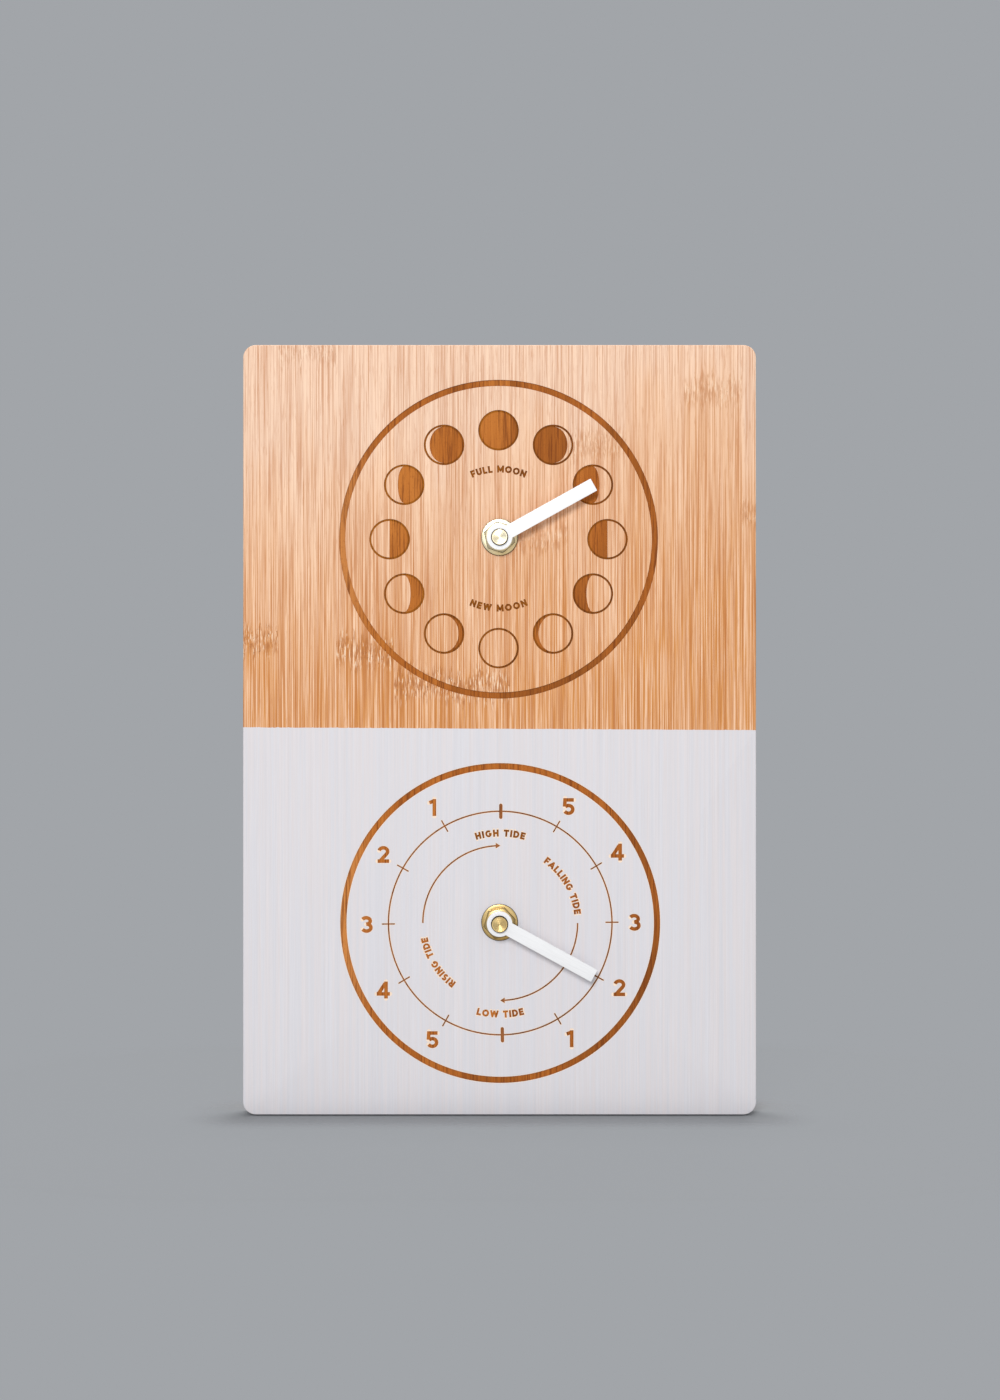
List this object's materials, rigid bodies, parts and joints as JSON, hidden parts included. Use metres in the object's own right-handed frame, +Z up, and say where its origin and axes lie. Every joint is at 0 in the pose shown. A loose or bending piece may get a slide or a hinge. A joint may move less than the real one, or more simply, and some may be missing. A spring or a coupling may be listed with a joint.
{
  "type": "tide clock",
  "caption": "Upright bamboo board with an engraved moon dial above a tide dial, each with one hand driven by a battery movement on the back.",
  "frame": {"origin": "the point at the wall plane where the wall hook bears in the hanger of the upper movement", "axes": "+Z up, +X to the right seen from the front, +Y into the wall; the dials face -Y"},
  "size_m": [0.2, 0.035, 0.3],
  "materials": {
    "bamboo": "satin",
    "engraved_bamboo": "matte",
    "white_paint": "matte",
    "rubber": "matte",
    "brass": "brushed",
    "hand_metal": "brushed",
    "case_plastic": "matte",
    "knob_plastic": "matte",
    "wheel_plastic": "satin",
    "white_plastic": "satin",
    "magnet": "matte",
    "soft_iron": "brushed",
    "copper_wire": "satin",
    "circuit_green": "satin",
    "black_resin": "gloss",
    "nickel": "satin",
    "cell_sleeve": "satin"
  },
  "bodies": {
    "clock_body": {"board": "bamboo", "moon_case_back": "case_plastic", "moon_case_front": "case_plastic", "moon_case_screw": "nickel", "moon_bushing": "brass", "moon_gasket": "rubber", "moon_washer": "brass", "moon_nut": "brass", "moon_gear_bridge": "white_plastic", "moon_stator": "soft_iron", "moon_coil_core": "soft_iron", "moon_coil_bobbin": "white_plastic", "moon_coil_winding": "copper_wire", "moon_circuit_board": "circuit_green", "moon_chip": "black_resin", "moon_crystal": "nickel", "moon_contact_minus": "nickel", "moon_contact_plus": "nickel", "tide_case_back": "case_plastic", "tide_case_front": "case_plastic", "tide_case_screw": "nickel", "tide_bushing": "brass", "tide_gasket": "rubber", "tide_washer": "brass", "tide_nut": "brass", "tide_gear_bridge": "white_plastic", "tide_stator": "soft_iron", "tide_coil_core": "soft_iron", "tide_coil_bobbin": "white_plastic", "tide_coil_winding": "copper_wire", "tide_circuit_board": "circuit_green", "tide_chip": "black_resin", "tide_crystal": "nickel", "tide_contact_minus": "nickel", "tide_contact_plus": "nickel"},
    "moon_hand_set": {"moon_hand": "hand_metal", "moon_cap": "brass", "moon_hour_wheel": "wheel_plastic"},
    "moon_motion": {"moon_motion_wheel": "wheel_plastic"},
    "moon_cannon": {"moon_cannon_pinion": "white_plastic"},
    "moon_knob": {"moon_setting_knob": "knob_plastic"},
    "moon_seconds": {"moon_seconds_wheel": "wheel_plastic"},
    "moon_third": {"moon_third_wheel": "white_plastic"},
    "moon_centre": {"moon_centre_wheel": "wheel_plastic"},
    "moon_intermediate": {"moon_intermediate_wheel": "white_plastic"},
    "moon_rotor": {"moon_rotor": "magnet"},
    "moon_battery": {"moon_battery": "cell_sleeve"},
    "tide_hand_set": {"tide_hand": "hand_metal", "tide_cap": "brass", "tide_hour_wheel": "wheel_plastic"},
    "tide_motion": {"tide_motion_wheel": "wheel_plastic"},
    "tide_cannon": {"tide_cannon_pinion": "white_plastic"},
    "tide_knob": {"tide_setting_knob": "knob_plastic"},
    "tide_seconds": {"tide_seconds_wheel": "wheel_plastic"},
    "tide_third": {"tide_third_wheel": "white_plastic"},
    "tide_centre": {"tide_centre_wheel": "wheel_plastic"},
    "tide_intermediate": {"tide_intermediate_wheel": "white_plastic"},
    "tide_rotor": {"tide_rotor": "magnet"},
    "tide_battery": {"tide_battery": "cell_sleeve"}
  },
  "joints": [
    {"name": "moon_hand_set_turn", "type": "hinge", "parent": "clock_body", "child": "moon_hand_set", "pos_m": [0, 0, -0.03453], "axis": [0, 1, 0], "continuous": true},
    {"name": "moon_motion_turn", "type": "hinge", "parent": "clock_body", "child": "moon_motion", "pos_m": [-0.00122, 0, -0.02763], "axis": [0, 1, 0], "continuous": true},
    {"name": "moon_cannon_turn", "type": "hinge", "parent": "clock_body", "child": "moon_cannon", "pos_m": [0, 0, -0.03453], "axis": [0, 1, 0], "continuous": true},
    {"name": "moon_knob_turn", "type": "hinge", "parent": "clock_body", "child": "moon_knob", "pos_m": [-0.00515, 0, -0.02081], "axis": [0, 1, 0], "continuous": true},
    {"name": "moon_seconds_turn", "type": "hinge", "parent": "clock_body", "child": "moon_seconds", "pos_m": [0, 0, -0.03453], "axis": [0, 1, 0], "continuous": true},
    {"name": "moon_third_turn", "type": "hinge", "parent": "clock_body", "child": "moon_third", "pos_m": [-0.00701, 0, -0.03048], "axis": [0, 1, 0], "continuous": true},
    {"name": "moon_centre_turn", "type": "hinge", "parent": "clock_body", "child": "moon_centre", "pos_m": [0, 0, -0.03453], "axis": [0, 1, 0], "continuous": true},
    {"name": "moon_intermediate_turn", "type": "hinge", "parent": "clock_body", "child": "moon_intermediate", "pos_m": [0.0083, 0, -0.03306], "axis": [0, 1, 0], "continuous": true},
    {"name": "moon_rotor_turn", "type": "hinge", "parent": "clock_body", "child": "moon_rotor", "pos_m": [0.01235, 0, -0.02824], "axis": [0, 1, 0], "continuous": true},
    {"name": "moon_battery_out", "type": "slide", "parent": "clock_body", "child": "moon_battery", "axis": [0, 1, 0], "range_m": [0, 0.02]},
    {"name": "tide_hand_set_turn", "type": "hinge", "parent": "clock_body", "child": "tide_hand_set", "pos_m": [0, 0, -0.18453], "axis": [0, 1, 0], "continuous": true},
    {"name": "tide_motion_turn", "type": "hinge", "parent": "clock_body", "child": "tide_motion", "pos_m": [-0.00122, 0, -0.17763], "axis": [0, 1, 0], "continuous": true},
    {"name": "tide_cannon_turn", "type": "hinge", "parent": "clock_body", "child": "tide_cannon", "pos_m": [0, 0, -0.18453], "axis": [0, 1, 0], "continuous": true},
    {"name": "tide_knob_turn", "type": "hinge", "parent": "clock_body", "child": "tide_knob", "pos_m": [-0.00515, 0, -0.17081], "axis": [0, 1, 0], "continuous": true},
    {"name": "tide_seconds_turn", "type": "hinge", "parent": "clock_body", "child": "tide_seconds", "pos_m": [0, 0, -0.18453], "axis": [0, 1, 0], "continuous": true},
    {"name": "tide_third_turn", "type": "hinge", "parent": "clock_body", "child": "tide_third", "pos_m": [-0.00701, 0, -0.18048], "axis": [0, 1, 0], "continuous": true},
    {"name": "tide_centre_turn", "type": "hinge", "parent": "clock_body", "child": "tide_centre", "pos_m": [0, 0, -0.18453], "axis": [0, 1, 0], "continuous": true},
    {"name": "tide_intermediate_turn", "type": "hinge", "parent": "clock_body", "child": "tide_intermediate", "pos_m": [0.0083, 0, -0.18306], "axis": [0, 1, 0], "continuous": true},
    {"name": "tide_rotor_turn", "type": "hinge", "parent": "clock_body", "child": "tide_rotor", "pos_m": [0.01235, 0, -0.17824], "axis": [0, 1, 0], "continuous": true},
    {"name": "tide_battery_out", "type": "slide", "parent": "clock_body", "child": "tide_battery", "axis": [0, 1, 0], "range_m": [0, 0.02]}
  ],
  "couplings": [
    {"joint": "moon_motion_turn", "follows": "moon_hand_set_turn", "ratio": -4},
    {"joint": "moon_cannon_turn", "follows": "moon_hand_set_turn", "ratio": 12},
    {"joint": "moon_knob_turn", "follows": "moon_hand_set_turn", "ratio": 8},
    {"joint": "moon_third_turn", "follows": "moon_seconds_turn", "ratio": -0.125},
    {"joint": "moon_centre_turn", "follows": "moon_seconds_turn", "ratio": 0.016667},
    {"joint": "moon_intermediate_turn", "follows": "moon_seconds_turn", "ratio": -5},
    {"joint": "moon_rotor_turn", "follows": "moon_seconds_turn", "ratio": 30},
    {"joint": "tide_motion_turn", "follows": "tide_hand_set_turn", "ratio": -4},
    {"joint": "tide_cannon_turn", "follows": "tide_hand_set_turn", "ratio": 12},
    {"joint": "tide_knob_turn", "follows": "tide_hand_set_turn", "ratio": 8},
    {"joint": "tide_third_turn", "follows": "tide_seconds_turn", "ratio": -0.125},
    {"joint": "tide_centre_turn", "follows": "tide_seconds_turn", "ratio": 0.016667},
    {"joint": "tide_intermediate_turn", "follows": "tide_seconds_turn", "ratio": -5},
    {"joint": "tide_rotor_turn", "follows": "tide_seconds_turn", "ratio": 30}
  ]
}
